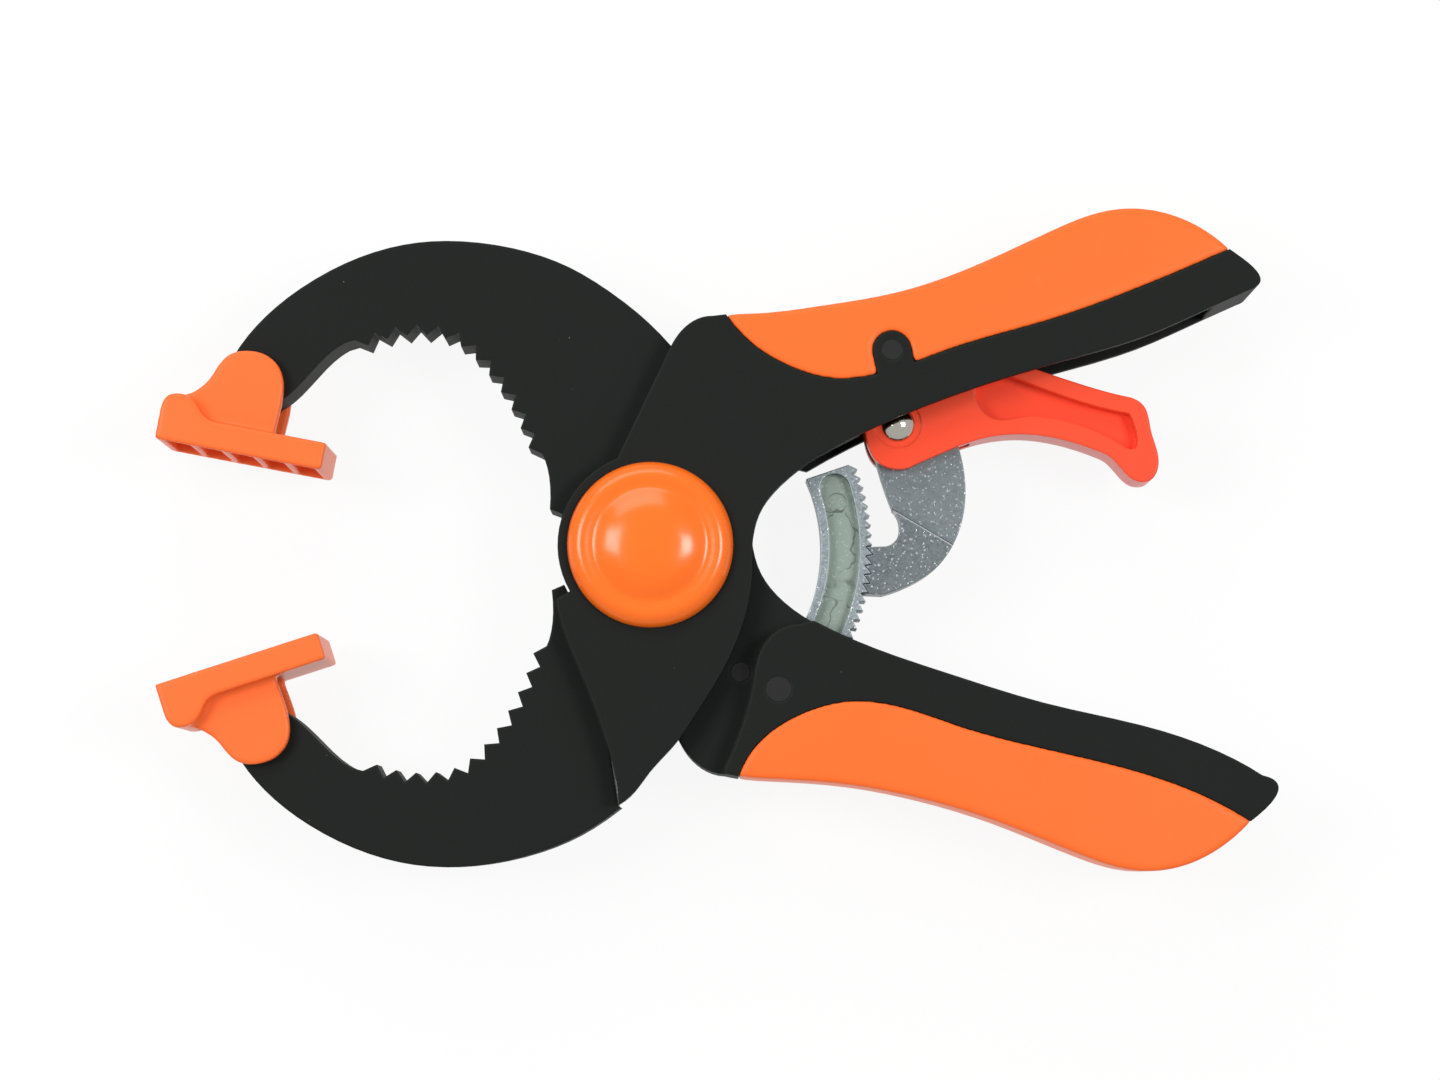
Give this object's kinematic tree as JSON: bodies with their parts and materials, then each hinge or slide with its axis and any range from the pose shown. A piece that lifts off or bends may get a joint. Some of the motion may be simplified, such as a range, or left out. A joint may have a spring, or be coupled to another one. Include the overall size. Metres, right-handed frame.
{
  "type": "spring clamp",
  "caption": "Ratcheting hand clamp: crossing toothed jaws with swivel pads, spring-opened, held by a ratchet arc and released by a finger trigger.",
  "frame": {"origin": "bottom centre of the bounding box, under the rear pivot cap's lowest point in height", "axes": "+X from the jaws to the handle ends, +Y from the lower handle to the upper one, +Z along the pivot towards the front cap"},
  "size_m": [0.219, 0.1298, 0.0352],
  "materials": {
    "black_body": "moulded, fine matte with faint specks",
    "soft_grip": "smooth satin overmould",
    "soft_pad": "smooth satin",
    "gloss_cap": "glossy moulding",
    "trigger_plastic": "satin moulding",
    "steel": "bright zinc plated",
    "dark_pin": "dark turned end",
    "bright_rivet": "polished dome",
    "zinc_casting": "blasted casting, fine sparkle",
    "spring_steel": "drawn wire"
  },
  "bodies": {
    "front_half": {"front_arm": "black_body", "upper_grip": "soft_grip", "front_cap": "gloss_cap", "pivot_bolt": "steel", "pivot_nut": "steel", "front_washer": "steel", "rear_washer": "steel", "pivot_bush": "steel", "torsion_spring": "spring_steel", "pawl_pivot_pin": "dark_pin", "pawl_spring": "spring_steel", "lower_pad_pin": "steel"},
    "rear_half": {"rear_arm": "black_body", "lower_grip": "soft_grip", "rear_cap": "gloss_cap", "ratchet_sector": "zinc_casting", "sector_pin_outer": "dark_pin", "sector_pin_inner": "dark_pin", "upper_pad_pin": "steel"},
    "trigger_unit": {"trigger": "trigger_plastic", "pawl": "zinc_casting", "trigger_rivet": "bright_rivet"},
    "upper_pad": {"upper_jaw_pad": "soft_pad"},
    "lower_pad": {"lower_jaw_pad": "soft_pad"}
  },
  "joints": [
    {"name": "main_pivot", "type": "hinge", "parent": "front_half", "child": "rear_half", "pos_m": [-0.01259, -0.00142, 0.0176], "axis": [0, 0, 1], "range_deg": [-20, 25], "deforming": ["torsion_spring"]},
    {"name": "trigger_pivot", "type": "hinge", "parent": "front_half", "child": "trigger_unit", "pos_m": [0.03471, 0.03688, 0.0176], "axis": [0, 0, 1], "range_deg": [0, 8], "stiffness_Nm_per_rad": 0.3, "springref_deg": -11.46, "deforming": ["pawl_spring"]},
    {"name": "upper_pad_swivel", "type": "hinge", "parent": "rear_half", "child": "upper_pad", "pos_m": [-0.09116, 0.03031, 0.0176], "axis": [0, 0, 1], "range_deg": [-4, 7]},
    {"name": "lower_pad_swivel", "type": "hinge", "parent": "front_half", "child": "lower_pad", "pos_m": [-0.08939, -0.03722, 0.0176], "axis": [0, 0, 1], "range_deg": [-7, 4]}
  ]
}
